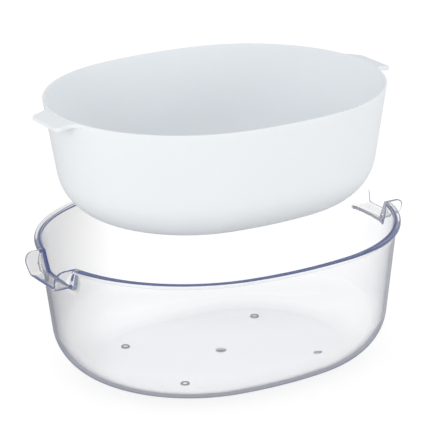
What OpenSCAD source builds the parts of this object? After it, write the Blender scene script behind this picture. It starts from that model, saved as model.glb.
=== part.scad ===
// Oval colander that lifts out of a clear oval bowl.
// Millimetres, +Z up. The origin is the middle of the bowl, on the surface it stands on.
// The long axis of both pieces is X. The colander is drawn lifted clear of the bowl.

/* [Bowl] */
// Length of the bowl at its rim, outside the wall
bowl_l = 304.8; // [290.4:2.4:333.6]
// Width of the bowl at its rim, outside the wall
bowl_w = 259.2; // [242.4:2.4:271.2]
// Height from the surface it stands on to the rim
bowl_h = 114; // [108:1:140]
// Thickness of the side wall
bowl_wall = 2.6; // [2:0.1:3.4]
// Thickness of the floor
bowl_floor = 3; // [2:0.1:4]
// Lean of the side wall away from upright, in degrees
bowl_lean = 6.6; // [4:0.2:8]
// Outside radius where the side wall turns into the floor
bowl_turn_r = 39; // [30:1:42]

/* [Lip] */
// How far the lip stands out from the wall
lip_out = 2.8; // [1.6:0.1:4]
// Height of the lip
lip_h = 3.4; // [2.6:0.1:6]
// Rounding of the lip's outer edges
lip_r = 1.2; // [0.6:0.1:1.3]

/* [Cradles] */
// Width between the two ears of a cradle, at the rim
cradle_w = 54; // [50:0.5:60]
// Depth from the rim to the cradle's floor
cradle_depth = 16.5; // [15:0.5:20]
// How far a cradle stands out from the wall at the rim
cradle_reach = 13.6; // [12:0.1:20]
// Thickness of the ears and of the cradle's floor
cradle_wall = 2.6; // [2:0.1:4]
// Inside radius between an ear and the cradle's floor
cradle_turn_r = 3; // [1.5:0.5:6]
// Lean of the ears away from upright, in degrees
ear_splay = 23; // [16:0.5:28]
// Radius of an ear's upper outer corner
ear_top_r = 8; // [5:0.5:9]
// Radius of an ear's lower outer corner
ear_foot_r = 3; // [1.5:0.5:4]
// How much further out an ear reaches at its top than at its foot
ear_lean = 1.6; // [0:0.1:3]

/* [Feet] */
// Diameter of each of the four feet
foot_d = 7; // [5:0.5:10]
// Height of the feet
foot_h = 1; // [0.8:0.1:2]
// Distance between feet along the bowl
foot_span_x = 128; // [100:1:140]
// Distance between feet across the bowl
foot_span_y = 102; // [80:1:112]
// Diameter of the round moulding mark in the middle
gate_d = 9; // [6:0.5:12]
// Height of the moulding mark below the floor
gate_h = 0.5; // [0.3:0.1:0.7]

/* [Colander] */
// Height from the underside to the rim
colander_h = 96; // [86:1:97]
// Thickness of the side wall
colander_wall = 2; // [1.6:0.1:2.6]
// Thickness of the floor
colander_floor = 2.2; // [1.6:0.1:3]
// Lean of the side wall away from upright, in degrees
colander_lean = 8.7; // [7:0.1:10]
// Outside radius where the side wall turns into the floor
colander_turn_r = 40; // [34:1:46]
// Rounding of the rim's inner edge
colander_rim_r = 0.8; // [0.3:0.1:1.2]
// Free gap between the colander's rim and the bowl's wall when it sits in the bowl
rim_gap = 5.5; // [1.5:0.1:7]

/* [Tabs] */
// Free gap between a tab and each ear, at the height of the bowl's rim
tab_side_gap = 4.5; // [3:0.1:6]
// How far a tab stands out from the colander's rim
tab_reach = 13.5; // [11:0.1:15]
// Thickness of a tab
tab_t = 2.6; // [2:0.1:3.4]
// Step from the rim down to the root of a tab
tab_step = 0.4; // [0.2:0.1:1]
// Drop from the rim to the top of a tab at its tip
tab_drop = 3.2; // [2:0.1:4.5]
// Length of the flat seat under the tip of a tab
tab_seat_l = 5; // [3:0.1:8]
// Radius of a tab's outer corners
tab_corner_r = 5; // [3:0.5:8]
// Radius of the flare where a tab runs into the wall
tab_flare_r = 10; // [6:0.5:12]

/* [Drain holes] */
// Diameter of each drain hole
hole_d = 4.5; // [3:0.1:6]
// Distance between neighbouring holes
hole_pitch = 14; // [12:0.5:20]
// Solid border between the holes and the turn of the wall
hole_border = 4; // [2:0.5:12]

/* [Lift] */
// Gap left between a tab's edges and the ears when the colander is all the way down
seat_gap = 0.4; // [0.2:0.05:0.6]
// How far the colander is lifted above its lowest place
lift = 122.6; // [0:1:160]

/* [Hidden] */
$fn = 96;

// Overrun of every cut past the surface it opens
over = 1;
// How far joined shapes run into each other
bite = 2;
// Sides of the right triangle between the centres of an end's arc and a side's arc, as
// shares of one unit. With whole numbers the two arcs meet exactly.
arc_shares = [13, 84, 85];
// How far the planes between the arcs reach, in the triangle's sides, as a share of the length
seam_share = 1 / 60;
// Depth in the wall where cradles and tabs are rooted, as a share of its thickness
root_share = 0.5;
// Steps along each arc of the plate that closes a floor
plate_steps = 24;

// The plan outline is an oval of four arcs: two round ends and two long, slightly bowed sides
half_l = bowl_l / 2;
half_w = bowl_w / 2;
arc_unit = (half_l - half_w) / (arc_shares[0] + arc_shares[1] - arc_shares[2]);
end_x = arc_shares[0] * arc_unit;
side_y = arc_shares[1] * arc_unit;
end_r = half_l - end_x;
side_r = half_w + side_y;
end_half_a = atan2(arc_shares[1], arc_shares[0]);
seam_unit = seam_share * bowl_l;

// Height of the bowl from its underside to the rim
bowl_side_h = bowl_h - foot_h;

// Height of the cradle's floor, and the height where the leaning ears carry a tab's edges
cradle_z = bowl_h - cradle_depth;
tab_w = cradle_w - 2 * tab_side_gap;
ear_base_z = cradle_z + cradle_turn_r * (1 - sin(ear_splay));
seat_z = max(ear_base_z, bowl_h - tab_side_gap / tan(ear_splay)) + seat_gap / sin(ear_splay);
// Reach of a cradle's shapes from the middle of the end's arc to past the ears
cradle_l = end_r + cradle_reach + over;

// Heights of the colander's rim at its lowest and as drawn
tab_tip_z = tab_drop + tab_t;
rim_low_z = seat_z + tab_tip_z;
rim_z = rim_low_z + lift;

// The colander's outline runs parallel to the bowl's, this far inside it
colander_in = bowl_wall / cos(bowl_lean) + (bowl_h - rim_low_z) * tan(bowl_lean) + rim_gap;
colander_end_r = end_r - colander_in;

// A tab at the +X end starts at the rim, is rooted this far inside it and ends at its tip
tab_x = half_l - colander_in;
tab_root_x = tab_x - 2 * tab_flare_r;
tab_tip_x = tab_x + tab_reach;

// Places of the drain holes: staggered rows that keep inside the flat floor
hole_inset = colander_in + turn_in(colander_h, colander_lean, colander_turn_r)
    + hole_border + hole_d / 2;
row_gap = hole_pitch * sin(60);
rows = ceil(half_w / row_gap);
columns = ceil(half_l / hole_pitch);
hole_places = [
    for (j = [-rows:rows], i = [-columns:columns])
        let (p = [(i + (j % 2 == 0 ? 0 : 1 / 2)) * hole_pitch, j * row_gap])
        if (in_oval(p, hole_inset)) p
];

// Inset of the centre of a wall's turn, for a wall that leans by lean and is h high
function turn_in(h, lean, r) = (h - r) * tan(lean) + r / cos(lean);

// Points of the oval outline, moved inwards by inset
function oval_points(inset) = [
    for (turn = [0, 180]) each concat(
        arc_points([end_x, 0], end_r - inset, -end_half_a, end_half_a, turn),
        arc_points([0, -side_y], side_r - inset, end_half_a, 180 - end_half_a, turn)
    )
];

// Points of an arc about c from angle a to angle b, turned about the origin by 0 or 180
function arc_points(c, r, a, b, turn) = [
    for (i = [0:plate_steps])
        let (w = a + (b - a) * i / plate_steps)
        cos(turn) * (c + r * [cos(w), sin(w)])
];

// Is a point inside the oval outline moved inwards by inset?
function in_oval(p, inset) =
    let (x = abs(p[0]), y = abs(p[1]), a = atan2(y, x - end_x))
    x > end_x && a < end_half_a
        ? norm([x - end_x, y]) < end_r - inset
        : norm([x, y + side_y]) < side_r - inset;

// Sweeps a wall section round the oval, over the height h below the rim. The section's x is
// measured outwards from the outline moved inwards by inset, and its y is the height.
module round_the_oval(h, inset) {
    seam_x = end_x + arc_shares[0] * seam_unit;
    seam_y = arc_shares[1] * seam_unit;
    end_slice = [
        [end_x, 0], [seam_x, seam_y], [bowl_l, seam_y], [bowl_l, -seam_y], [seam_x, -seam_y]
    ];
    side_slice = [[0, -side_y], [seam_x, seam_y], [-seam_x, seam_y]];
    for (turn = [0, 180]) {
        rotate([0, 0, turn])
            intersection() {
                translate([end_x, 0, 0])
                    rotate_extrude() translate([end_r - inset, 0]) children();
                slice(h) polygon(end_slice);
            }
        rotate([0, 0, turn])
            intersection() {
                translate([0, -side_y, 0])
                    rotate_extrude() translate([side_r - inset, 0]) children();
                slice(h) polygon(side_slice);
            }
    }
}

// Upright slice that reaches past a wall of height h below the rim
module slice(h) {
    translate([0, 0, -h - over]) linear_extrude(h + 2 * over) children();
}

// Section of a cup: everything inside a wall that starts at [0, 0] and leans inwards as it
// goes down by h, where it turns into a flat floor with radius r. It reaches inwards to -deep
// and up to top.
module cup_section(h, lean, r, deep, top = 0) {
    cx = -turn_in(h, lean, r);
    cy = r - h;
    polygon([
        [-deep, -h],
        [cx, -h],
        [cx, cy],
        [cx + r * cos(lean), cy - r * sin(lean)],
        [top * tan(lean), top],
        [-deep, top]
    ]);
    intersection() {
        translate([cx, cy]) circle(r);
        translate([cx, -h]) square(r);
    }
}

// Section of a wall and the outer ring of its floor, with the rim's inner edge rounded by rim_r
module wall_section(h, lean, r, wall, base, deep, rim_r) {
    thick = wall / cos(lean);
    difference() {
        cup_section(h, lean, r, deep);
        translate([-thick, 0]) cup_section(h - base, lean, r - wall, deep + over, over);
        if (rim_r > 0) rim_cut(thick, lean, rim_r);
    }
}

// What comes off the inner edge of a rim
module rim_cut(thick, lean, r) {
    c = [r / cos(lean) - r * tan(lean) - thick, -r];
    difference() {
        polygon([c, c + r * [-cos(lean), sin(lean)], [-thick - over, over], [c[0], over]]);
        translate(c) circle(r);
    }
}

// Leaning wall, its turn and its floor, with the rim's top at height 0. A child is the
// section of what runs round the rim.
module oval_cup(h, lean, r, wall, base, inset, rim_r = 0) {
    deep = turn_in(h, lean, r) + 2 * bite;
    round_the_oval(h, inset) {
        wall_section(h, lean, r, wall, base, deep, rim_r);
        children();
    }
    translate([0, 0, -h])
        linear_extrude(base) polygon(oval_points(inset + deep - bite));
}

// Cone that follows the wall at an end, at the depth where cradles and tabs are rooted
module root_cone(h, lean, wall, inset) {
    r = end_r - inset - root_share * wall;
    translate([end_x, 0, -h])
        cylinder(h = h + over, r1 = r - h * tan(lean), r2 = r + over * tan(lean));
}

// Lip on the outside of the bowl's rim
module lip_section() {
    in = bowl_wall * root_share;
    translate([-in, -lip_h + lip_r]) square([in + lip_out, lip_h - 2 * lip_r]);
    translate([-in, -lip_h]) square([in + lip_out - lip_r, lip_h]);
    for (y = [-lip_r, lip_r - lip_h]) {
        translate([lip_out - lip_r, y]) circle(lip_r);
    }
}

// Channel seen from the end: its floor is at height 0 and its sides lean outwards. It is w wide
// at height h and reaches up to top, and its corners are rounded by r.
module channel(w, h, r, top) {
    c = w / 2 - turn_in(h, ear_splay, r);
    side = [c + r * cos(ear_splay), r - r * sin(ear_splay)];
    end = w / 2 + (top - h) * tan(ear_splay);
    polygon([
        [-c, 0], [c, 0], [c, r], side, [end, top], [-end, top], [-side[0], side[1]], [-c, r]
    ]);
    for (y = [-c, c]) {
        translate([y, r]) circle(r);
    }
}

// Outline of an ear seen from the side. Its x is measured from the wall at the rim.
module ear_outline() {
    foot = cradle_depth + cradle_wall;
    deep = foot * tan(bowl_lean) + bowl_wall + over;
    c1 = [cradle_reach - ear_top_r, -ear_top_r];
    c2 = [cradle_reach - ear_lean - ear_foot_r, ear_foot_r - foot];
    d = c1 - c2;
    edge_a = atan2(d[1], d[0]) - acos((ear_foot_r - ear_top_r) / norm(d));
    out = [cos(edge_a), sin(edge_a)];
    polygon([
        [-deep, 0],
        [c1[0], 0],
        c1,
        c1 + ear_top_r * out,
        c2 + ear_foot_r * out,
        c2,
        [c2[0], -foot],
        [-deep, -foot]
    ]);
    for (corner = [[c1, ear_top_r], [c2, ear_foot_r]]) {
        intersection() {
            translate(corner[0]) circle(corner[1]);
            translate(corner[0] - [0, corner[1]]) square(2 * corner[1]);
        }
    }
}

// Solid block of a cradle at the +X end, before its channel is cut
module cradle_block() {
    outer_w = cradle_w + 2 * cradle_wall / cos(ear_splay);
    outer_h = cradle_depth + cradle_wall;
    intersection() {
        translate([half_l, 0, bowl_h])
            rotate([90, 0, 0])
                linear_extrude(2 * outer_w, center = true) ear_outline();
        translate([end_x, 0, cradle_z - cradle_wall])
            rotate([90, 0, 90])
                linear_extrude(cradle_l)
                    channel(outer_w, outer_h, cradle_turn_r + cradle_wall, outer_h);
    }
}

// Cut that opens a cradle's channel through the wall at the +X end
module cradle_cut() {
    translate([end_x, 0, cradle_z])
        rotate([90, 0, 90])
            linear_extrude(cradle_l)
                channel(cradle_w, cradle_depth, cradle_turn_r, cradle_depth + over);
}

module bowl() {
    color([0.86, 0.9, 0.97, 0.45])
    difference() {
        union() {
            translate([0, 0, bowl_h])
                oval_cup(bowl_side_h, bowl_lean, bowl_turn_r, bowl_wall, bowl_floor, 0)
                    lip_section();
            for (turn = [0, 180]) {
                rotate([0, 0, turn])
                    difference() {
                        cradle_block();
                        translate([0, 0, bowl_h]) root_cone(bowl_side_h, bowl_lean, bowl_wall, 0);
                    }
            }
            for (x = [-1, 1], y = [-1, 1]) {
                translate([x * foot_span_x / 2, y * foot_span_y / 2, 0])
                    cylinder(h = foot_h + bowl_floor / 2, d = foot_d);
            }
            translate([0, 0, foot_h - gate_h])
                cylinder(h = gate_h + bowl_floor / 2, d = gate_d);
        }
        for (turn = [0, 180]) {
            rotate([0, 0, turn]) cradle_cut();
        }
    }
}

// Plan of a tab at the +X end, with flares where it runs into the round end of the wall
module tab_plan() {
    half = tab_w / 2;
    whole_l = tab_tip_x - tab_root_x;
    flare_y = half + tab_flare_r;
    flare_x = end_x + sqrt(pow(colander_end_r + tab_flare_r, 2) - flare_y * flare_y);
    flare_a = atan2(flare_y, flare_x - end_x);
    meet = [end_x + colander_end_r * cos(flare_a), colander_end_r * sin(flare_a)];
    translate([tab_root_x, -half]) square([whole_l - tab_corner_r, tab_w]);
    translate([tab_root_x, tab_corner_r - half]) square([whole_l, tab_w - 2 * tab_corner_r]);
    for (side = [-1, 1]) {
        translate([tab_tip_x - tab_corner_r, side * (half - tab_corner_r)]) circle(tab_corner_r);
        difference() {
            polygon([
                [tab_root_x, 0],
                [flare_x, 0],
                [flare_x, side * flare_y],
                [meet[0], side * meet[1]],
                [tab_root_x, side * meet[1]]
            ]);
            translate([flare_x, side * flare_y]) circle(tab_flare_r);
        }
    }
}

// Side view of a tab, from the rim down: it drops towards its tip, which is flat below
module tab_side() {
    slope = (tab_drop - tab_step) / tab_reach;
    rise = slope * (tab_reach - tab_seat_l);
    polygon([
        [tab_root_x, -tab_step],
        [tab_x, -tab_step],
        [tab_tip_x, -tab_drop],
        [tab_tip_x, -tab_tip_z],
        [tab_tip_x - tab_seat_l, -tab_tip_z],
        [tab_x, rise - tab_tip_z],
        [tab_root_x, rise - tab_tip_z]
    ]);
}

module tab() {
    difference() {
        intersection() {
            translate([0, 0, -tab_tip_z]) linear_extrude(tab_tip_z) tab_plan();
            rotate([90, 0, 0])
                linear_extrude(2 * (tab_w + tab_flare_r), center = true) tab_side();
        }
        root_cone(colander_h, colander_lean, colander_wall, colander_in);
    }
}

module colander() {
    color([0.93, 0.94, 0.95])
    translate([0, 0, rim_z])
    difference() {
        union() {
            oval_cup(
                colander_h, colander_lean, colander_turn_r, colander_wall, colander_floor,
                colander_in, colander_rim_r
            );
            for (turn = [0, 180]) {
                rotate([0, 0, turn]) tab();
            }
        }
        for (p = hole_places) {
            translate([p[0], p[1], -colander_h - over])
                cylinder(h = colander_floor + 2 * over, d = hole_d);
        }
    }
}

bowl();
colander();
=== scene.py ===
"""An oval colander of white plastic, lifted above the clear bowl that it nests in."""

import math

import bmesh
import bpy
from bpy.props import FloatProperty, FloatVectorProperty, PointerProperty
from mathutils import Matrix, Vector


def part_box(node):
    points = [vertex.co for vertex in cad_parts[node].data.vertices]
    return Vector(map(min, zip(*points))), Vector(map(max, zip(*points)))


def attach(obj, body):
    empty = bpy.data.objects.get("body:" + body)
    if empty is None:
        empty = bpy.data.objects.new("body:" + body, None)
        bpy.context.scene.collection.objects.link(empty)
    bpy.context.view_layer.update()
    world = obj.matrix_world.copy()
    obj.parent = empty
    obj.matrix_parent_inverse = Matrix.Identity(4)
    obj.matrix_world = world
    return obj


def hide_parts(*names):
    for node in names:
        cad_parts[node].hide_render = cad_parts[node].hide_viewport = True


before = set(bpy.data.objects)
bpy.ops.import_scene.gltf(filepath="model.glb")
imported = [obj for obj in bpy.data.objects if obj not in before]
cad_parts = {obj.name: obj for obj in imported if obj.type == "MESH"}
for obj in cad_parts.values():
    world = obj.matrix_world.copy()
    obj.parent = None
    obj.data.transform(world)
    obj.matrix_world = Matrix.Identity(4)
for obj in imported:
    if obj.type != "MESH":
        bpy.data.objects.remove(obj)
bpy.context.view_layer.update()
BOWL_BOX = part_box("bowl")
COLANDER_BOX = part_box("colander")

bl_info = {
    "name": "Colander with bowl",
    "version": (1, 0, 0),
    "blender": (4, 5, 0),
    "location": "3D View > Sidebar > Colander",
    "description": "Builds an oval colander, the clear bowl it nests in, and a plain stage",
    "category": "Add Mesh",
}

MM = 0.001
RIGHT_ANGLE = math.pi / 2
# Faces that meet at a smaller angle than this are shaded as one smooth surface
SMOOTH_BELOW = math.radians(38)
# Distance between the sections that are swept round an oval
COLUMN_SPACING = 3 * MM
# Steps of a rounded edge, of the turn between wall and floor, and up a wall
EDGE_STEPS, TURN_STEPS, WALL_STEPS = 4, 20, 10
WHITE = (1.0, 1.0, 1.0, 1.0)


def srgb(code):
    """Linear colour of an sRGB hex value."""
    parts = [int(code[i:i + 2], 16) / 255 for i in (1, 3, 5)]
    return tuple(c / 12.92 if c <= 0.04045 else ((c + 0.055) / 1.055) ** 2.4 for c in parts)


def length(name, description, mm):
    return FloatProperty(name=name, description=description, default=mm * MM, unit="LENGTH",
                         precision=5)


def angle(name, description, degrees):
    return FloatProperty(name=name, description=description, default=math.radians(degrees),
                         subtype="ANGLE")


def share(name, description, value):
    return FloatProperty(name=name, description=description, default=value, subtype="FACTOR")


def power(name, description, watts):
    return FloatProperty(name=name, description=description, default=watts, unit="POWER")


def colour(name, description, code):
    return FloatVectorProperty(name=name, description=description, default=srgb(code),
                               subtype="COLOR", size=3, min=0, max=1)


class BowlSizes(bpy.types.PropertyGroup):
    """Sizes of the clear bowl."""
    length: length("Rim length", "Length at the rim, outside the wall", 304.8)
    width: length("Rim width", "Width at the rim, outside the wall", 259.2)
    height: length("Height", "Height of the rim above the surface", BOWL_BOX[1].z / MM)
    wall: length("Wall", "Thickness of the side wall", 2.6)
    floor: length("Floor", "Thickness of the floor", 3)
    lean: angle("Lean", "Lean of the side wall", 6.6)
    turn: length("Turn radius", "Outside radius between wall and floor", 39)
    lip_out: length("Lip reach", "How far the lip stands out from the wall", 2.8)
    lip_height: length("Lip height", "Height of the lip", 3.4)
    lip_round: length("Lip rounding", "Rounding of the lip's edges", 1.2)
    lip_fillet: length("Lip fillet", "Fillet between the lip's underside and the wall", 0.8)
    edge: length("Edge rounding", "Rounding of the rim's inner edge and the cradles' edges", 0.8)
    foot_width: length("Foot width", "Diameter of a foot", 7)
    foot_height: length("Foot height", "Height of a foot", 1)
    foot_span_x: length("Foot spacing, long", "Distance between feet along the bowl", 128)
    foot_span_y: length("Foot spacing, short", "Distance between feet across the bowl", 102)
    mark_width: length("Mark width", "Diameter of the moulding mark", 9)
    mark_height: length("Mark height", "Height of the moulding mark", 0.5)


class CradleSizes(bpy.types.PropertyGroup):
    """Sizes of the two cradles that carry the colander's tabs."""
    width: length("Width", "Width between the two ears at the rim", 54)
    depth: length("Depth", "Depth from the rim to the cradle's floor", 16.5)
    reach: length("Reach", "How far the ears stand out from the wall", 13.6)
    wall: length("Wall", "Thickness of the ears and of the floor", 2.6)
    turn: length("Turn radius", "Inside radius between ear and floor", 3)
    splay: angle("Ear splay", "Lean of the ears away from upright", 23)
    ear_top: length("Ear top radius", "Radius of an ear's upper outer corner", 8)
    ear_foot: length("Ear foot radius", "Radius of an ear's lower outer corner", 3)
    ear_lean: length("Ear lean", "How much further out an ear reaches at its top", 1.6)
    ear_fillet: length("Ear fillet", "Fillet between an ear's outside and the wall", 7.5)
    floor_fillet: length("Floor fillet", "Fillet between a cradle's underside and the wall", 2)


class ColanderSizes(bpy.types.PropertyGroup):
    """Sizes of the white colander."""
    rim_z: length("Rim height", "Height of the rim above the surface", COLANDER_BOX[1].z / MM)
    half_width: length("Half width", "Half the width at the rim", COLANDER_BOX[1].y / MM)
    height: length("Height", "Height from the underside to the rim", 96)
    wall: length("Wall", "Thickness of the side wall", 2)
    floor: length("Floor", "Thickness of the floor", 2.2)
    lean: angle("Lean", "Lean of the side wall", 8.7)
    turn: length("Turn radius", "Outside radius between wall and floor", 40)
    edge: length("Edge rounding", "Rounding of the rim's edges", 0.7)


class TabSizes(bpy.types.PropertyGroup):
    """Sizes of the colander's two end tabs."""
    width: length("Width", "Width of a tab", 45)
    reach: length("Reach", "How far a tab stands out from the rim", 13.5)
    thickness: length("Thickness", "Thickness at the tip", 2.6)
    step: length("Step", "Step from the rim down to the tab's root", 0.4)
    drop: length("Drop", "Drop from the rim to the tip", 3.2)
    seat: length("Seat", "Length of the flat seat below the tip", 5)
    corner: length("Corner radius", "Radius of the outer corners", 5)
    flare: length("Flare radius", "Radius where the tab runs into the wall", 10)
    edge: length("Edge rounding", "Rounding of the edges", 0.7)


class DrainSizes(bpy.types.PropertyGroup):
    """Sizes of the drain holes in the colander's floor."""
    width: length("Hole width", "Diameter of a hole", 4.5)
    pitch: length("Pitch", "Distance between neighbouring holes", 14)
    border: length("Border", "Solid border round the field of holes", 4)
    chamfer: length("Chamfer", "Chamfer at both ends of a hole", 0.3)


class Finish(bpy.types.PropertyGroup):
    """Colours of the two plastics, with the painted shade of the clear one's outlines and the
    painted glow of its core.
    """
    clear_depth: colour("Clear plastic in depth", "What a long way through the clear plastic "
                        "leaves of white light", "#9AA6DC")
    # Painted shade: the colour that the clear plastic turns to along its outlines
    clear_edge_shade: colour("Clear plastic edge on", "Tint of the clear plastic along its outlines",
                       "#30323F")
    # Painted glow: colours that the clear plastic's core glows with, in the walls and in the
    # ears
    clear_core_glow: colour("Clear plastic core", "Light that has gone to and fro inside a wall",
                       "#646E96")
    ear_core_glow: colour("Ear core", "The same in the ears, which are short and thin", "#979CAD")
    white: colour("White plastic", "Colour of the white plastic", "#E6EAED")


class StageSettings(bpy.types.PropertyGroup):
    """Camera, floor and light."""
    azimuth: angle("Azimuth", "Direction of the camera round the object", -30.01)
    elevation: angle("Elevation", "Height of the camera as an angle", 19.22)
    distance: length("Distance", "Distance of the camera from what it aims at", 2200)
    aim: FloatVectorProperty(name="Aim", description="Point that the camera aims at",
                             default=(0.007, 0.0173, 0.116), subtype="TRANSLATION", size=3)
    roll: angle("Roll", "Turn of the camera about its own axis", -1.24)
    lens: FloatProperty(name="Lens", description="Focal length", default=220.5,
                        unit="CAMERA", subtype="DISTANCE_CAMERA")
    floor: colour("Floor", "Colour of the floor", "#F2F2F2")
    key_power: power("Key light", "Power of the main soft light", 9.0)
    fill_power: power("Fill light", "Power of the fill light", 7.0)
    surround: share("Surround", "Level of the light from all round, low down", 0.90)
    overhead: share("Overhead", "Level of the light from overhead", 0.95)
    # Painted shade: how dark the floor is painted where clear edges mirror it
    mirrored: share("Mirrored floor", "Level of the floor where clear edges mirror it", 0.44)


class PartSettings(bpy.types.PropertyGroup):
    """All settings of the part and its stage."""
    bowl: PointerProperty(type=BowlSizes)
    cradle: PointerProperty(type=CradleSizes)
    colander: PointerProperty(type=ColanderSizes)
    tab: PointerProperty(type=TabSizes)
    drain: PointerProperty(type=DrainSizes)
    finish: PointerProperty(type=Finish)
    stage: PointerProperty(type=StageSettings)


class Oval:
    """Outline of four arcs: two round ends and two long, slightly bowed sides.

    The centres of an end's and a side's arc span a right triangle with these sides."""
    shares = (13, 84, 85)

    def __init__(self, half_length, half_width):
        unit = (half_length - half_width) / (self.shares[0] + self.shares[1] - self.shares[2])
        self.end_x = self.shares[0] * unit
        self.side_y = self.shares[1] * unit
        self.end_r = half_length - self.end_x
        self.side_r = half_width + self.side_y
        self.seam = math.atan2(self.shares[1], self.shares[0])

    def columns(self):
        """Arc centre, radius and direction of points all round."""
        out = []
        for sign in (1, -1):
            for cx, cy, r, start, end in (
                    (self.end_x, 0, self.end_r, -self.seam, self.seam),
                    (0, -self.side_y, self.side_r, self.seam, math.pi - self.seam)):
                n = math.ceil(r * (end - start) / COLUMN_SPACING)
                for i in range(n):
                    w = start + (end - start) * i / n
                    out.append((Vector((cx, cy)) * sign, r,
                                Vector((math.cos(w), math.sin(w))) * sign))
        return out

    def end_surface(self, y, offset):
        """x of the +X end's arc at y, for an outline moved outwards by offset."""
        return self.end_x + math.sqrt((self.end_r + offset) ** 2 - y * y)


def turn_in(height, lean, radius):
    """How far inside the rim the centre of a wall's turn lies."""
    return (height - radius) * math.tan(lean) + radius / math.cos(lean)


def arc(centre, radius, start, end, steps):
    """Points of an arc, both ends included."""
    return [(centre[0] + radius * math.cos(start + (end - start) * i / steps),
             centre[1] + radius * math.sin(start + (end - start) * i / steps))
            for i in range(steps + 1)]


def spread(a, b, steps):
    """Points between a and b, without a and b."""
    return [(a[0] + (b[0] - a[0]) * i / steps, a[1] + (b[1] - a[1]) * i / steps)
            for i in range(1, steps)]


def level_wall(sizes):
    """Thickness of the leaning wall, measured level."""
    return sizes.wall / math.cos(sizes.lean)


def cup_section(sizes, height, rim):
    """Section of a cup, from the underside's flat, over the rim, to the inside's flat.

    x is measured outwards from the rim's outer edge and y up from the rim's top."""
    lean, outer_r = sizes.lean, sizes.turn
    inner_r = outer_r - sizes.wall
    outer = arc((-turn_in(height, lean, outer_r), outer_r - height),
                outer_r, -RIGHT_ANGLE, -lean, TURN_STEPS)
    inner = arc((-level_wall(sizes) - turn_in(height - sizes.floor, lean, inner_r),
                 sizes.floor + inner_r - height),
                inner_r, -lean, -RIGHT_ANGLE, TURN_STEPS)
    points = outer + spread(outer[-1], rim[0], WALL_STEPS) + rim
    return points + spread(rim[-1], inner[0], WALL_STEPS) + inner


def inner_edge(sizes):
    """Rounded inner edge of a rim, from its flat top to the wall."""
    r, lean = sizes.edge, sizes.lean
    centre = (r / math.cos(lean) - r * math.tan(lean) - level_wall(sizes), -r)
    return arc(centre, r, RIGHT_ANGLE, math.pi - lean, EDGE_STEPS)


def outer_edge(sizes):
    """Rounded outer edge of a plain rim, from the wall to its flat top."""
    r, lean = sizes.edge, sizes.lean
    centre = (-r / math.cos(lean) - r * math.tan(lean), -r)
    return arc(centre, r, -lean, RIGHT_ANGLE, EDGE_STEPS)


def smooth(mesh):
    """Shades mesh smooth and marks its sharp edges."""
    mesh.shade_smooth()
    mesh.set_sharp_from_angle(angle=SMOOTH_BELOW)


def finish_mesh(name, bm):
    """Turns bm into an object whose faces point outwards and whose sharp edges are marked."""
    bmesh.ops.remove_doubles(bm, verts=bm.verts, dist=1e-7)
    bmesh.ops.recalc_face_normals(bm, faces=bm.faces)
    mesh = bpy.data.meshes.new(name)
    bm.to_mesh(mesh)
    bm.free()
    smooth(mesh)
    piece = bpy.data.objects.new(name, mesh)
    bpy.context.scene.collection.objects.link(piece)
    return piece


def skin(bm, rings, capped=False):
    """Quads between closed rings of vertices, and faces over both ends if it is capped."""
    for first, second in zip(rings, rings[1:]):
        n = len(first)
        for i in range(n):
            bm.faces.new((first[i], first[(i + 1) % n], second[(i + 1) % n], second[i]))
    if capped:
        bm.faces.new(rings[0])
        bm.faces.new(rings[-1])


def shell(name, oval, section, z_top):
    """Object made by sweeping section round the oval and closing both flats."""
    bm = bmesh.new()
    columns = oval.columns()
    rings = [[bm.verts.new((*(c + (r + x) * u), z_top + y)) for c, r, u in columns]
             for x, y in section]
    skin(bm, rings)
    for ring in (rings[0], rings[-1]):
        # smaller and smaller rings keep the triangles at the middle short
        flat = [ring] + [[bm.verts.new((v.co.x * k, v.co.y * k, v.co.z)) for v in ring]
                         for k in (0.75, 0.5, 0.25)]
        skin(bm, flat)
        inner = flat[-1]
        middle = bm.verts.new((0, 0, ring[0].co.z))
        for i, v in enumerate(inner):
            bm.faces.new((v, inner[(i + 1) % len(inner)], middle))
    return finish_mesh(name, bm)


def plate(bm, layers):
    """Closed plate from layers of equal grids: the first and the last are filled, and the
    borders of all of them are joined."""
    grids = [[[bm.verts.new(p) for p in row] for row in grid] for grid in layers]
    for grid in (grids[0], grids[-1]):
        for a, b in zip(grid, grid[1:]):
            for i in range(len(a) - 1):
                bm.faces.new((a[i], a[i + 1], b[i + 1], b[i]))
    borders = [grid[0] + [row[-1] for row in grid[1:-1]] + grid[-1][::-1]
               + [row[0] for row in grid[-2:0:-1]] for grid in grids]
    skin(bm, borders)


def rounded_layers(thickness, edge):
    """(depth, inset) of the layers of a plate whose edges are rounded on both faces."""
    first = []
    for i in range(EDGE_STEPS + 1):
        a = RIGHT_ANGLE * (1 - i / EDGE_STEPS)
        first.append((edge * (1 - math.sin(a)), edge * (1 - math.cos(a))))
    return first + [(thickness - depth, inset) for depth, inset in reversed(first)]


def turned_copy(bm):
    """Adds a copy of everything, turned half way round the upright axis."""
    out = bmesh.ops.duplicate(bm, geom=bm.verts[:] + bm.edges[:] + bm.faces[:])
    verts = [g for g in out["geom"] if isinstance(g, bmesh.types.BMVert)]
    bmesh.ops.rotate(bm, verts=verts, cent=(0, 0, 0), matrix=Matrix.Rotation(math.pi, 3, "Z"))


def button(bm, x, y, radius, low, high, edge):
    """Round pad with a rounded lower edge."""
    profile = arc((radius - edge, low + edge), edge, -RIGHT_ANGLE, 0, EDGE_STEPS)
    profile.append((radius, high))
    steps = 40
    rings = [[bm.verts.new((x + r * math.cos(math.tau * i / steps),
                            y + r * math.sin(math.tau * i / steps), z)) for i in range(steps)]
             for r, z in profile]
    skin(bm, rings, capped=True)


def apply_modifiers(piece):
    """Leaves piece with a plain mesh."""
    graph = bpy.context.evaluated_depsgraph_get()
    mesh = bpy.data.meshes.new_from_object(piece.evaluated_get(graph))
    old = piece.data
    piece.modifiers.clear()
    piece.data = mesh
    mesh.name = piece.name
    bpy.data.meshes.remove(old)
    smooth(mesh)


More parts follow.
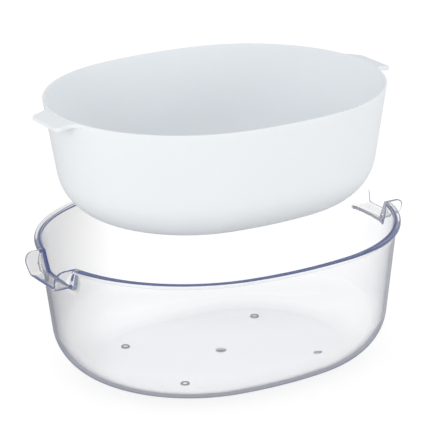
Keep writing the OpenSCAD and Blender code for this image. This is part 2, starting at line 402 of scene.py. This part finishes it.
def combine(piece, steps):
    """Applies booleans in order and deletes the shapes that they use."""
    for operation, other in steps:
        modifier = piece.modifiers.new(operation.title(), "BOOLEAN")
        modifier.operation = operation
        modifier.solver = "MANIFOLD"
        modifier.object = other
    apply_modifiers(piece)
    for _, other in steps:
        spare = other.data
        bpy.data.objects.remove(other)
        bpy.data.meshes.remove(spare)


def bowl_shell(sizes, oval):
    """Wall, floor, turn and rim lip of the bowl."""
    fillet_steps, lip_steps = 3, 5
    r, f = sizes.lip_round, sizes.lip_fillet
    low = -sizes.lip_height
    wall_x = (low - f) * math.tan(sizes.lean)
    rim = arc((wall_x + f, low - f), f, math.pi, RIGHT_ANGLE, fillet_steps)
    rim += arc((sizes.lip_out - r, low + r), r, -RIGHT_ANGLE, 0, lip_steps)
    rim += arc((sizes.lip_out - r, -r), r, 0, RIGHT_ANGLE, lip_steps)
    rim += inner_edge(sizes)
    section = cup_section(sizes, sizes.height - sizes.foot_height, rim)
    return shell("clear_bowl", oval, section, sizes.height)


def between(a, b, steps):
    """Vectors between a and b, without a and b."""
    return [a.lerp(b, i / steps) for i in range(1, steps)]


class Channel:
    """Inside of a cradle seen from the end, as (y, z) from the middle of the rim. Its sides
    lean outwards, and it can be grown by a distance all round."""
    corner_steps = 8
    floor_steps = 4

    def __init__(self, sizes, grow=0):
        self.splay = sizes.splay
        self.half = sizes.width / 2 + grow / math.cos(self.splay)
        self.turn = sizes.turn + grow
        depth = sizes.depth + grow
        self.corner = Vector((turn_in(depth, self.splay, self.turn) - self.half,
                              self.turn - depth))

    def side(self, z, outwards=0):
        """Point of the -Y side at height z, on the surface this far outside it."""
        return Vector((-self.half - z * math.tan(self.splay) - outwards / math.cos(self.splay),
                       z))

    def round_corner(self, outwards):
        """Points round the -Y corner, from the side to the floor."""
        n = self.corner_steps
        return [self.corner + (self.turn + outwards) * Vector((math.cos(a), math.sin(a)))
                for a in (math.pi + self.splay + (RIGHT_ANGLE - self.splay) * i / n
                          for i in range(n + 1))]

    def half_floor(self, start):
        """Points on the floor, from the corner's end at start to short of the middle."""
        return between(start, Vector((0, start.y)), self.floor_steps)


def mirrored(points):
    """The points, and their mirror image across Z in reverse."""
    return points + [Vector((-p.x, p.y)) for p in reversed(points)]


def cradle_cutter(bowl, sizes, oval):
    """What comes off the wall so that a cradle's lining can take its place."""
    channel = Channel(sizes, bowl.edge)
    above = 4 * sizes.wall
    inside = oval.end_x + oval.end_r / 2
    outside = oval.end_x + oval.end_r + 2 * sizes.reach
    path = mirrored([channel.side(above)] + channel.round_corner(0))
    bm = bmesh.new()
    ends = [[bm.verts.new((x, p.x, bowl.height + p.y)) for p in path]
            for x in (inside, outside)]
    skin(bm, ends, capped=True)
    turned_copy(bm)
    return finish_mesh("cradle_cutter", bm)


class EarOutline:
    """Outer edge of an ear seen from the side, as x from the wall at the rim. It is two round
    corners and the straight line that touches both."""

    def __init__(self, sizes):
        foot = sizes.depth + sizes.wall
        self.top_r, self.foot_r = sizes.ear_top, sizes.ear_foot
        self.top = Vector((sizes.reach - self.top_r, -self.top_r))
        self.foot = Vector((sizes.reach - sizes.ear_lean - self.foot_r, self.foot_r - foot))
        d = self.top - self.foot
        a = math.atan2(d.y, d.x) - math.acos((self.foot_r - self.top_r) / d.length)
        out = Vector((math.cos(a), math.sin(a)))
        self.upper = self.top + self.top_r * out
        self.lower = self.foot + self.foot_r * out

    def x(self, z, inset):
        """x at height z from the rim, for an outline moved in by inset."""
        if z > self.upper.y:
            r = self.top_r - inset
            return self.top.x + math.sqrt(max(0, r * r - (z - self.top.y) ** 2))
        if z < self.lower.y:
            r = self.foot_r
            return self.foot.x + math.sqrt(max(0, r * r - (z - self.foot.y) ** 2)) - inset
        k = (z - self.lower.y) / (self.upper.y - self.lower.y)
        return self.lower.x + (self.upper.x - self.lower.x) * k - inset


def cradle_linings(bowl, sizes, oval):
    """Ears and floors of both cradles, each one bent plate with rounded edges."""
    top_steps, side_steps, across_steps = 10, 4, 8
    e = bowl.edge
    bite = bowl.wall / 4
    channel = Channel(sizes)
    outline = EarOutline(sizes)
    layers = []
    for depth, inset in rounded_layers(sizes.wall, e):
        # half a path: down from an ear's rounded top, round the corner, and to the middle
        r = sizes.ear_top - inset
        half = [channel.side(r * math.cos(RIGHT_ANGLE * i / top_steps) - sizes.ear_top, depth)
                for i in range(top_steps + 1)]
        corner = channel.round_corner(depth)
        half += between(half[-1], corner[0], side_steps) + corner
        half += channel.half_floor(corner[-1])
        grid = []
        for y, z in mirrored(half):
            surface = oval.end_surface(y, z * math.tan(bowl.lean) - level_wall(bowl))
            # the root follows the wall's inside, set back where the rim's edge is rounded, and
            # outside the rounded edge it slants into the wall's thickness
            over = max(0, e + z)
            recess = e - math.sqrt(max(0, e * e - over * over))
            root = inset if depth < e else bite * (depth - e) / (sizes.wall - e)
            x_in = surface + max(root, recess)
            x_out = oval.end_x + oval.end_r + outline.x(z, inset)
            grid.append([(x_in + (x_out - x_in) * k / across_steps, y, bowl.height + z)
                         for k in range(across_steps + 1)])
        layers.append(grid)
    bm = bmesh.new()
    plate(bm, layers)
    turned_copy(bm)
    return finish_mesh("cradle_linings", bm)


def cradle_fillets(bowl, sizes, oval):
    """Fillets on the outside, where the ears and floors of the cradles run into the wall."""
    side_steps, grow_steps, section_steps = 9, 6, 6
    channel = Channel(sizes)
    bite = bowl.wall / 4
    lean_out = Vector((-math.cos(sizes.splay), -math.sin(sizes.splay)))
    down = Vector((0, -1))
    # the ends hide in the lip: they start in its height and are narrower than its reach
    start = channel.side(-0.6 * bowl.lip_height, sizes.wall)
    top = 0.85 * bowl.lip_out
    # (point on the plate's outer face, direction away from it, radius), from the lip downwards
    corner = channel.round_corner(sizes.wall)
    half = []
    for i in range(side_steps):
        grown = math.sin(RIGHT_ANGLE * min(1, i / grow_steps))
        half.append((start.lerp(corner[0], i / side_steps), lean_out,
                     top + (sizes.ear_fillet - top) * grown))
    for i, point in enumerate(corner):
        shrunk = (1 - math.cos(math.pi * i / channel.corner_steps)) / 2
        half.append((point, (point - channel.corner).normalized(),
                     sizes.ear_fillet + (sizes.floor_fillet - sizes.ear_fillet) * shrunk))
    half += [(point, down, sizes.floor_fillet) for point in channel.half_floor(corner[-1])]
    path = half + [(Vector((-point.x, point.y)), Vector((-out.x, out.y)), radius)
                   for point, out, radius in reversed(half)]
    bm = bmesh.new()
    rings = []
    for point, out, r in path:
        # a is away from the plate and b away from the wall
        section = [(-bite, -bite), (r, -bite)]
        section += [(r * (1 - math.sin(t)), r * (1 - math.cos(t)))
                    for t in (RIGHT_ANGLE * i / section_steps
                              for i in range(section_steps + 1))]
        section.append((-bite, r))
        ring = []
        for a, b in section:
            y, z = point + out * a
            x = oval.end_surface(y, z * math.tan(bowl.lean)) + b
            ring.append(bm.verts.new((x, y, bowl.height + z)))
        rings.append(ring)
    skin(bm, rings, capped=True)
    turned_copy(bm)
    return finish_mesh("cradle_fillets", bm)


def bowl_feet(sizes):
    """Four feet and the round moulding mark between them."""
    edge_share = 0.4
    bm = bmesh.new()
    top = sizes.foot_height + sizes.floor / 2
    for x in (-1, 1):
        for y in (-1, 1):
            button(bm, x * sizes.foot_span_x / 2, y * sizes.foot_span_y / 2,
                   sizes.foot_width / 2, 0, top, sizes.foot_height * edge_share)
    button(bm, 0, 0, sizes.mark_width / 2, sizes.foot_height - sizes.mark_height, top,
           sizes.mark_height * edge_share)
    return finish_mesh("bowl_feet", bm)


def colander_shell(sizes, oval):
    """Wall, floor, turn and plain rim of the colander."""
    section = cup_section(sizes, sizes.height, outer_edge(sizes) + inner_edge(sizes))
    return shell("white_colander", oval, section, sizes.rim_z)


def colander_tabs(sizes, colander, oval):
    """The two end tabs, flared into the wall, thin at the root and thicker at the tip."""
    flare_steps, side_steps, corner_steps, across_steps = 10, 3, 6, 8
    half = sizes.width / 2
    rim_x = oval.end_x + oval.end_r
    tip = rim_x + sizes.reach
    flare_y = half + sizes.flare
    flare_x = oval.end_surface(flare_y, sizes.flare)
    start = math.atan2(-flare_y, oval.end_x - flare_x)
    slope = (sizes.drop - sizes.step) / sizes.reach
    bite = colander.wall / 2
    layers = []
    # depth is a share of the thickness here, because the thickness changes along the tab
    for depth, inset in rounded_layers(1, sizes.edge / sizes.thickness):
        inset *= sizes.thickness
        r = sizes.flare + inset
        side = [(flare_x + (r + bite) * math.cos(start), flare_y + (r + bite) * math.sin(start))]
        side += arc((flare_x, flare_y), r, start, -RIGHT_ANGLE, flare_steps)
        side += spread(side[-1], (tip - sizes.corner, half - inset), side_steps)
        side += arc((tip - sizes.corner, half - sizes.corner), sizes.corner - inset,
                    RIGHT_ANGLE, 0, corner_steps)
        grid = []
        # rows near the root are bowed like the wall
        bulge = rim_x - bite - side[0][0]
        for k, (x, y) in enumerate(side):
            bow = bulge * max(0, 1 - k / (flare_steps + 1)) ** 2
            row = []
            for j in range(2 * across_steps + 1):
                v = j / across_steps - 1
                px = x + bow * (1 - v * v)
                out = px - rim_x
                top = -sizes.step - slope * max(0, out)
                under = min(out, sizes.reach - sizes.seat)
                under = -sizes.drop - sizes.thickness + slope * (
                    sizes.reach - sizes.seat - max(0, under))
                row.append((px, y * v, colander.rim_z + top + (under - top) * depth))
            grid.append(row)
        layers.append(grid)
    bm = bmesh.new()
    plate(bm, layers)
    turned_copy(bm)
    return finish_mesh("colander_tabs", bm)


def add_node(tree, kind, inputs=(), **settings):
    """Adds a node, sets its properties, and fills or links its inputs, given by name or in
    order. A node given as an input stands for its first output."""
    node = tree.nodes.new(kind)
    for name, value in settings.items():
        setattr(node, name, value)
    for name, value in inputs.items() if isinstance(inputs, dict) else enumerate(inputs):
        if isinstance(value, bpy.types.Node):
            value = value.outputs[0]
        if isinstance(value, bpy.types.NodeSocket):
            tree.links.new(value, node.inputs[name])
        else:
            node.inputs[name].default_value = value
    return node


def drain_tree():
    """Geometry nodes that pierce a floor with staggered round holes."""
    tree = bpy.data.node_groups.new("Drain holes", "GeometryNodeTree")
    face = tree.interface
    face.new_socket("Geometry", in_out="INPUT", socket_type="NodeSocketGeometry")
    for name in ("Hole width", "Pitch", "Chamfer", "Floor thickness", "Floor height",
                 "End centre", "End radius", "Side centre", "Side radius"):
        face.new_socket(name, in_out="INPUT", socket_type="NodeSocketFloat")
    face.new_socket("Material", in_out="INPUT", socket_type="NodeSocketMaterial")
    face.new_socket("Geometry", in_out="OUTPUT", socket_type="NodeSocketGeometry")
    given = add_node(tree, "NodeGroupInput").outputs
    maths = "ShaderNodeMath"
    xyz = "ShaderNodeCombineXYZ"
    # Points along each side of the grid, points along a spool, and corners of a round hole
    count, spool_points, hole_corners = 31, 6, 28

    # A grid of points, in whole steps of the pitch, with every other row moved by half a step
    row_gap = add_node(tree, maths, (given["Pitch"], math.sin(math.radians(60))),
                       operation="MULTIPLY")
    grid = add_node(tree, "GeometryNodeMeshGrid", {
        "Size X": add_node(tree, maths, (given["Pitch"], count - 1), operation="MULTIPLY"),
        "Size Y": add_node(tree, maths, (row_gap, count - 1), operation="MULTIPLY"),
        "Vertices X": count, "Vertices Y": count})
    place = add_node(tree, "ShaderNodeSeparateXYZ",
                     (add_node(tree, "GeometryNodeInputPosition"),)).outputs
    row = add_node(tree, maths, (
        add_node(tree, maths, (place["Y"], row_gap), operation="DIVIDE"),), operation="ROUND")
    odd = add_node(tree, maths, (
        add_node(tree, maths, (row,), operation="ABSOLUTE"), 2.0), operation="MODULO")
    half_step = add_node(tree, maths, (given["Pitch"], 2.0), operation="DIVIDE")
    moved = add_node(tree, "GeometryNodeSetPosition", {
        "Geometry": grid.outputs["Mesh"],
        "Offset": add_node(tree, xyz, {
            "X": add_node(tree, maths, (odd, half_step), operation="MULTIPLY"),
            "Z": given["Floor height"]})})
    # Keep the points that are inside the oval field after the move
    x, y = (add_node(tree, maths, (place[axis],), operation="ABSOLUTE") for axis in "XY")
    past_end = add_node(tree, maths, (x, given["End centre"]), operation="SUBTRACT")
    from_end = add_node(tree, "ShaderNodeVectorMath", (add_node(tree, xyz, (
        add_node(tree, maths, (past_end, 0.0), operation="MAXIMUM"), y)),), operation="LENGTH")
    from_side = add_node(tree, "ShaderNodeVectorMath", (add_node(tree, xyz, (
        x, add_node(tree, maths, (y, given["Side centre"]), operation="ADD"))),),
        operation="LENGTH")
    outside = add_node(tree, maths, (
        add_node(tree, maths, (from_end.outputs["Value"], given["End radius"]),
                 operation="GREATER_THAN"),
        add_node(tree, maths, (from_side.outputs["Value"], given["Side radius"]),
                 operation="GREATER_THAN")), operation="MAXIMUM")
    kept = add_node(tree, "GeometryNodeDeleteGeometry", {
        "Geometry": moved, "Selection": outside})
    # A spool that flares by the chamfer at both faces of the floor
    half = add_node(tree, maths, (given["Floor thickness"], 2.0), operation="DIVIDE")
    line = add_node(tree, "GeometryNodeMeshLine", {
        "Count": spool_points, "Offset": (0.0, 0.0, 1.0)}, mode="OFFSET")
    step = add_node(tree, maths, (
        add_node(tree, "GeometryNodeInputIndex"), (spool_points - 1) / 2),
        operation="SUBTRACT")
    rank = add_node(tree, maths, (step,), operation="ABSOLUTE")
    end = add_node(tree, maths, (rank, 2.0), operation="GREATER_THAN")
    edge = add_node(tree, maths, (rank, 1.0), operation="GREATER_THAN")
    flare = add_node(tree, maths, (edge, given["Chamfer"]), operation="MULTIPLY")
    z = add_node(tree, maths, (
        add_node(tree, maths, (half, given["Chamfer"]), operation="SUBTRACT"), flare),
        operation="ADD")
    z = add_node(tree, maths, (
        z, add_node(tree, maths, (end, half), operation="MULTIPLY")), operation="ADD")
    z = add_node(tree, maths, (
        z, add_node(tree, maths, (step,), operation="SIGN")), operation="MULTIPLY")
    spine = add_node(tree, "GeometryNodeSetPosition", {
        "Geometry": add_node(tree, "GeometryNodeMeshToCurve", {"Mesh": line}),
        "Position": add_node(tree, xyz, {"Z": z})})
    radius = add_node(tree, maths, (
        add_node(tree, maths, (given["Hole width"], 2.0), operation="DIVIDE"), flare),
        operation="ADD")
    ring = add_node(tree, "GeometryNodeCurvePrimitiveCircle", {
        "Resolution": hole_corners, "Radius": 1.0})
    tube = add_node(tree, "GeometryNodeCurveToMesh", {
        "Curve": spine, "Profile Curve": ring, "Scale": radius, "Fill Caps": True})
    pins = add_node(tree, "GeometryNodeInstanceOnPoints", {"Points": kept, "Instance": tube})
    cutter = add_node(tree, "GeometryNodeRealizeInstances", {"Geometry": pins})
    pierced = add_node(tree, "GeometryNodeMeshBoolean", {
        "Mesh 1": given["Geometry"], "Mesh 2": cutter}, operation="DIFFERENCE",
        solver="MANIFOLD")
    real = add_node(tree, "GeometryNodeRealizeInstances", {"Geometry": pierced})
    dressed = add_node(tree, "GeometryNodeSetMaterial", {
        "Geometry": real, "Material": given["Material"]})
    add_node(tree, "NodeGroupOutput", {"Geometry": dressed})
    return tree


def pierce(piece, colander, drain, oval, material):
    """Cuts the drain holes with the node tree and leaves a plain mesh."""
    inset = (turn_in(colander.height, colander.lean, colander.turn)
             + drain.border + drain.width / 2)
    tree = drain_tree()
    values = {
        "Hole width": drain.width, "Pitch": drain.pitch, "Chamfer": drain.chamfer,
        "Floor thickness": colander.floor,
        "Floor height": colander.rim_z - colander.height + colander.floor / 2,
        "End centre": oval.end_x, "End radius": oval.end_r - inset,
        "Side centre": oval.side_y, "Side radius": oval.side_r - inset,
        "Material": material,
    }
    modifier = piece.modifiers.new("Drain holes", "NODES")
    modifier.node_group = tree
    for item in tree.interface.items_tree:
        if item.item_type == "SOCKET" and item.in_out == "INPUT" and item.name in values:
            modifier[item.identifier] = values[item.name]
    apply_modifiers(piece)


def new_material(name):
    """Material with an empty node tree."""
    material = bpy.data.materials.new(name)
    material.use_nodes = True
    material.node_tree.nodes.clear()
    return material


def clear_plastic(finish, rim_end):
    """Polished clear styrene plastic: bright where it is thin, and blue-violet along rims and
    cut edges, partly from real absorption where light has come a long way through it and partly
    from a painted glow of its core."""
    # The painted core glow shows from the third mirroring inside a wall on. Its colour changes
    # to that of the ears over ear_blend, and shadow_tint is what a shadow keeps of the light
    mirrorings, ear_blend = 2.5, 3 * MM
    shadow_tint = (0.93, 0.94, 0.96, 1.0)
    material = new_material("Clear styrene plastic, polished")
    tree = material.node_tree
    coordinates = add_node(tree, "ShaderNodeTexCoord").outputs["Object"]
    # Slight waviness of a moulded wall, about 40 mm from wave to wave
    waves = add_node(tree, "ShaderNodeTexNoise", {
        "Vector": coordinates, "Scale": 25.0, "Detail": 1.0})
    bump = add_node(tree, "ShaderNodeBump", {
        "Height": waves.outputs["Fac"], "Strength": 0.25, "Distance": 0.4 * MM})
    # Seen edge on, more of the plastic lies in the way; on top of that the colour is darkened
    # towards clear_edge_shade, painted shade that draws dark outlines
    facing = add_node(tree, "ShaderNodeLayerWeight", {"Blend": 0.5}).outputs["Facing"]
    edge_on_shade = add_node(tree, "ShaderNodeMapRange", {
        "Value": facing, "From Min": 0.86, "From Max": 0.95})
    # Painted shade: the colour darkens towards the outlines
    tint = add_node(tree, "ShaderNodeMix", {
        "Factor": edge_on_shade, "A": WHITE, "B": (*finish.clear_edge_shade, 1.0)},
        data_type="RGBA")
    plastic = add_node(tree, "ShaderNodeBsdfPrincipled", {
        "Base Color": tint.outputs["Result"], "Metallic": 0.0, "Roughness": 0.02, "IOR": 1.57,
        "Transmission Weight": 1.0, "Normal": bump})
    # Light passes to the floor without a hard dark shadow
    clear = add_node(tree, "ShaderNodeBsdfTransparent", {"Color": shadow_tint})
    path = add_node(tree, "ShaderNodeLightPath").outputs
    seen = add_node(tree, "ShaderNodeMixShader", (path["Is Shadow Ray"], plastic, clear))
    # Painted glow, in place of what is left of light that has gone to and fro inside the wall
    # many times
    past_rim = add_node(tree, "ShaderNodeMath", (
        add_node(tree, "ShaderNodeSeparateXYZ", (coordinates,)).outputs["X"],),
        operation="ABSOLUTE")
    in_ear = add_node(tree, "ShaderNodeMapRange", {
        "Value": past_rim, "From Min": rim_end, "From Max": rim_end + ear_blend})
    shade = add_node(tree, "ShaderNodeMix", {
        "Factor": in_ear, "A": (*finish.clear_core_glow, 1.0), "B": (*finish.ear_core_glow, 1.0)},
        data_type="RGBA")
    # The painted glow itself, an emission though the plastic is no lamp
    core = add_node(tree, "ShaderNodeEmission", {"Color": shade.outputs["Result"]})
    deep = add_node(tree, "ShaderNodeMath", (path["Glossy Depth"], mirrorings),
                    operation="GREATER_THAN")
    mix = add_node(tree, "ShaderNodeMixShader", (deep, seen, core))
    depth = add_node(tree, "ShaderNodeVolumeAbsorption", {
        "Color": (*finish.clear_depth, 1.0), "Density": 7.0})
    add_node(tree, "ShaderNodeOutputMaterial", {"Surface": mix, "Volume": depth})
    return material


def white_plastic(finish):
    """Opaque white polypropylene, moulded with a fine satin grain, so highlights are broad."""
    material = new_material("White polypropylene, satin moulded")
    tree = material.node_tree
    coordinates = add_node(tree, "ShaderNodeTexCoord").outputs["Object"]
    # Faint clouding of the colour, about 60 mm across, as moulded parts show
    cloud = add_node(tree, "ShaderNodeTexNoise", {
        "Vector": coordinates, "Scale": 16.0, "Detail": 2.0}).outputs["Fac"]
    tone = add_node(tree, "ShaderNodeMix", {
        "Factor": cloud, "A": (*[c * 0.985 for c in finish.white], 1.0),
        "B": (*finish.white, 1.0)}, data_type="RGBA")
    # Spark-eroded grain, really about 0.1 mm, drawn at 0.6 mm so that it shows
    grain = add_node(tree, "ShaderNodeTexNoise", {
        "Vector": coordinates, "Scale": 1600.0, "Detail": 2.0})
    bump = add_node(tree, "ShaderNodeBump", {
        "Height": grain.outputs["Fac"], "Strength": 0.12, "Distance": 0.2 * MM})
    rough = add_node(tree, "ShaderNodeMapRange", {
        "Value": cloud, "To Min": 0.40, "To Max": 0.48})
    plastic = add_node(tree, "ShaderNodeBsdfPrincipled", {
        "Base Color": tone.outputs["Result"], "Roughness": rough, "IOR": 1.49, "Normal": bump})
    add_node(tree, "ShaderNodeOutputMaterial", {"Surface": plastic})
    return material


def contact_shade(tree, bowl):
    """Shade on the floor where the feet and the moulding mark keep light away."""
    # Under a foot a dark ring, and under the mark a dark disc. Distances are shares of the
    # width: the ring's radius, and how far full shade and fading reach
    ring, ring_full, ring_fade, ring_shade = 0.40, 0.10, 0.22, 0.85
    disc_full, disc_fade, disc_shade = 0.44, 0.54, 0.6
    maths = "ShaderNodeMath"
    at = add_node(tree, "ShaderNodeSeparateXYZ", (
        add_node(tree, "ShaderNodeTexCoord").outputs["Object"],)).outputs
    corner = add_node(tree, "ShaderNodeCombineXYZ", [
        add_node(tree, maths, (at[axis],), operation="ABSOLUTE") for axis in "XY"])
    from_foot = add_node(tree, "ShaderNodeVectorMath", (
        corner, (bowl.foot_span_x / 2, bowl.foot_span_y / 2, 0.0)), operation="DISTANCE")
    rim = add_node(tree, maths, (from_foot.outputs["Value"], ring * bowl.foot_width),
                   operation="SUBTRACT")
    foot = add_node(tree, "ShaderNodeMapRange", {
        "Value": add_node(tree, maths, (rim,), operation="ABSOLUTE"),
        "From Min": ring_full * bowl.foot_width, "From Max": ring_fade * bowl.foot_width,
        "To Min": ring_shade, "To Max": 0.0})
    from_mark = add_node(tree, "ShaderNodeVectorMath", (corner,), operation="LENGTH")
    mark = add_node(tree, "ShaderNodeMapRange", {
        "Value": from_mark.outputs["Value"], "From Min": disc_full * bowl.mark_width,
        "From Max": disc_fade * bowl.mark_width, "To Min": disc_shade, "To Max": 0.0})
    return add_node(tree, maths, (foot, mark), operation="MAXIMUM")


def floor_material(stage, bowl):
    """Pale floor that shows as white, and still takes a soft part of the shadow. Mirrored in
    the edges of clear plastic it is darker, so that outlines stand out."""
    # The glow's share of the floor's look, beside what the lamps light, and its direct level
    glow_share, direct_level = 0.7, 1.13
    maths = "ShaderNodeMath"
    material = new_material("Plain pale floor")
    tree = material.node_tree
    path = add_node(tree, "ShaderNodeLightPath").outputs
    matt = add_node(tree, "ShaderNodeBsdfDiffuse", {"Color": (*stage.floor, 1.0)})
    seen = path["Is Camera Ray"]
    for ray in ("Is Glossy Ray", "Is Transmission Ray"):
        seen = add_node(tree, maths, (seen, path[ray]), operation="MAXIMUM")
    # Through the bowl the floor is painted paler on the right than on the left, as the light
    # comes, and painted greyer far behind the bowl, where it is seen through the walls
    place = add_node(tree, "ShaderNodeTexCoord").outputs["Object"]
    across, along = math.cos(stage.azimuth), math.sin(stage.azimuth)
    right, behind = (
        add_node(tree, "ShaderNodeVectorMath", (place, direction),
                 operation="DOT_PRODUCT").outputs["Value"]
        for direction in ((across, along, 0.0), (-along, across, 0.0)))
    far = add_node(tree, "ShaderNodeMapRange", {
        "Value": behind, "From Min": 40 * MM, "From Max": 140 * MM,
        "To Min": 1.0, "To Max": 0.82})
    through = add_node(tree, "ShaderNodeMapRange", {
        "Value": right, "From Min": -170 * MM, "From Max": -80 * MM,
        "To Min": 0.9, "To Max": 1.50}, interpolation_type="SMOOTHSTEP")
    through = add_node(tree, maths, (through, far), operation="MULTIPLY")
    direct = add_node(tree, "ShaderNodeMix", {
        "Factor": path["Is Camera Ray"], "A": through, "B": direct_level})
    # Painted shade: in mirrors the floor is darker on the left, in place of a darker side of the
    # studio, and the left outline mirrors it
    painted_dim = add_node(tree, "ShaderNodeMapRange", {
        "Value": right, "From Min": -190 * MM, "From Max": -130 * MM,
        "To Min": 0.4 * stage.mirrored, "To Max": stage.mirrored})
    in_mirror = add_node(tree, maths, (path["Glossy Depth"], 0.5), operation="GREATER_THAN")
    level = add_node(tree, "ShaderNodeMix", {
        "Factor": in_mirror, "A": direct.outputs["Result"], "B": painted_dim})
    lit = add_node(tree, maths, (1.0, contact_shade(tree, bowl)), operation="SUBTRACT")
    glow = add_node(tree, "ShaderNodeEmission", {
        "Color": WHITE,
        "Strength": add_node(tree, maths, (level.outputs["Result"], lit),
                             operation="MULTIPLY")})
    part = add_node(tree, maths, (seen, glow_share), operation="MULTIPLY")
    mix = add_node(tree, "ShaderNodeMixShader", (part, matt, glow))
    add_node(tree, "ShaderNodeOutputMaterial", {"Surface": mix})
    return material


def studio_world(stage):
    """Soft light from all round, a little stronger overhead. Seen directly it is white. In
    reflections and through clear plastic it is greyer, and greyest towards the ceiling."""
    world = bpy.data.worlds.new("Studio")
    bpy.context.scene.world = world
    world.use_nodes = True
    tree = world.node_tree
    tree.nodes.clear()
    path = add_node(tree, "ShaderNodeLightPath").outputs
    up = add_node(tree, "ShaderNodeSeparateXYZ", (
        add_node(tree, "ShaderNodeTexCoord").outputs["Generated"],)).outputs["Z"]
    soft = add_node(tree, "ShaderNodeMapRange", {
        "Value": up, "From Min": 0.1, "From Max": 0.9, "To Min": stage.surround,
        "To Max": stage.overhead})
    ceiling = add_node(tree, "ShaderNodeMapRange", {
        "Value": up, "From Min": 0.0, "From Max": 0.6, "To Min": 0.70, "To Max": 0.25})
    bent = add_node(tree, "ShaderNodeMath", (path["Is Glossy Ray"], path["Is Transmission Ray"]),
                    operation="MAXIMUM")
    level = add_node(tree, "ShaderNodeMix", {"Factor": bent, "A": soft, "B": ceiling})
    shown = add_node(tree, "ShaderNodeMix", {
        "Factor": path["Is Camera Ray"], "A": level.outputs["Result"], "B": 1.0})
    light = add_node(tree, "ShaderNodeBackground", {
        "Color": WHITE, "Strength": shown.outputs["Result"]})
    add_node(tree, "ShaderNodeOutputWorld", {"Surface": light})


class PART_OT_bowl(bpy.types.Operator):
    """Make the clear bowl with its lip, cradles, feet and moulding mark"""
    bl_idname = "part.bowl"
    bl_label = "Clear bowl"

    def execute(self, context):
        settings = context.scene.colander_part
        sizes = settings.bowl
        oval = Oval(sizes.length / 2, sizes.width / 2)
        piece = bowl_shell(sizes, oval)
        combine(piece, [
            ("DIFFERENCE", cradle_cutter(sizes, settings.cradle, oval)),
            ("UNION", cradle_linings(sizes, settings.cradle, oval)),
            ("UNION", cradle_fillets(sizes, settings.cradle, oval)),
            ("UNION", bowl_feet(sizes)),
        ])
        piece.data.materials.clear()
        piece.data.materials.append(clear_plastic(settings.finish, sizes.length / 2))
        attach(piece, "bowl")
        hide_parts("bowl")
        return {"FINISHED"}


class PART_OT_colander(bpy.types.Operator):
    """Make the white colander with its tabs and drain holes"""
    bl_idname = "part.colander"
    bl_label = "White colander"

    def execute(self, context):
        settings = context.scene.colander_part
        sizes = settings.colander
        inset = settings.bowl.width / 2 - sizes.half_width
        oval = Oval(settings.bowl.length / 2, settings.bowl.width / 2)
        oval.end_r -= inset
        oval.side_r -= inset
        piece = colander_shell(sizes, oval)
        combine(piece, [("UNION", colander_tabs(settings.tab, sizes, oval))])
        material = white_plastic(settings.finish)
        pierce(piece, sizes, settings.drain, oval, material)
        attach(piece, "colander")
        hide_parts("colander")
        return {"FINISHED"}


class PART_OT_stage(bpy.types.Operator):
    """Make the floor, the soft light and the camera"""
    bl_idname = "part.stage"
    bl_label = "Stage"

    def execute(self, context):
        # Metres: half the floor's width, a gap that keeps the feet off the floor, the lamps'
        # width and the height they aim at, and how far the camera sees
        floor_reach, gap, lamp_width, lamp_aim, far_end = 8.0, 0.2 * MM, 0.9, 0.12, 50.0
        scene = context.scene
        stage = scene.colander_part.stage
        bm = bmesh.new()
        bmesh.ops.create_grid(bm, x_segments=4, y_segments=4, size=floor_reach)
        bmesh.ops.translate(bm, verts=bm.verts, vec=(0, 0, -gap))
        floor = finish_mesh("studio_floor", bm)
        floor.data.materials.append(floor_material(stage, scene.colander_part.bowl))
        studio_world(stage)
        for name, place, watts in (("key", (-1.8, -0.8, 0.8), stage.key_power),
                                   ("fill", (1.5, -1.4, 0.7), stage.fill_power)):
            light = bpy.data.lights.new(name, "AREA")
            light.shape = "SQUARE"
            light.size = lamp_width
            light.energy = watts
            lamp = bpy.data.objects.new(name, light)
            lamp.location = place
            # Its square outline would show as a hard patch in the clear walls
            lamp.visible_glossy = False
            lamp.visible_transmission = False
            lamp.rotation_euler = (Vector((0, 0, lamp_aim)) - lamp.location).to_track_quat(
                "-Z", "Y").to_euler()
            scene.collection.objects.link(lamp)
        camera = bpy.data.cameras.new("camera")
        camera.sensor_width = 36.0
        camera.lens = stage.lens
        camera.clip_end = far_end
        eye = bpy.data.objects.new("camera", camera)
        away = Vector((math.sin(stage.azimuth) * math.cos(stage.elevation),
                       -math.cos(stage.azimuth) * math.cos(stage.elevation),
                       math.sin(stage.elevation)))
        look = (-away).to_track_quat("-Z", "Y").to_matrix()
        look = look @ Matrix.Rotation(stage.roll, 3, "Z")
        eye.matrix_world = Matrix.Translation(
            Vector(stage.aim) + away * stage.distance) @ look.to_4x4()
        scene.collection.objects.link(eye)
        scene.camera = eye
        scene.view_settings.view_transform = "Standard"
        return {"FINISHED"}


class PART_PT_panel(bpy.types.Panel):
    """Lists the steps that build the part"""
    bl_idname = "PART_PT_panel"
    bl_label = "Colander with bowl"
    bl_space_type = "VIEW_3D"
    bl_region_type = "UI"
    bl_category = "Colander"

    def draw(self, context):
        for operator in OPERATORS:
            self.layout.operator(operator.bl_idname)


OPERATORS = (PART_OT_bowl, PART_OT_colander, PART_OT_stage)
CLASSES = (BowlSizes, CradleSizes, ColanderSizes, TabSizes, DrainSizes, Finish, StageSettings,
           PartSettings, *OPERATORS, PART_PT_panel)


def register():
    for cls in CLASSES:
        bpy.utils.register_class(cls)
    bpy.types.Scene.colander_part = PointerProperty(type=PartSettings)


def unregister():
    del bpy.types.Scene.colander_part
    for cls in reversed(CLASSES):
        bpy.utils.unregister_class(cls)


def main():
    register()
    bpy.ops.part.bowl()
    bpy.ops.part.colander()
    bpy.ops.part.stage()


if __name__ == "__main__":
    main()
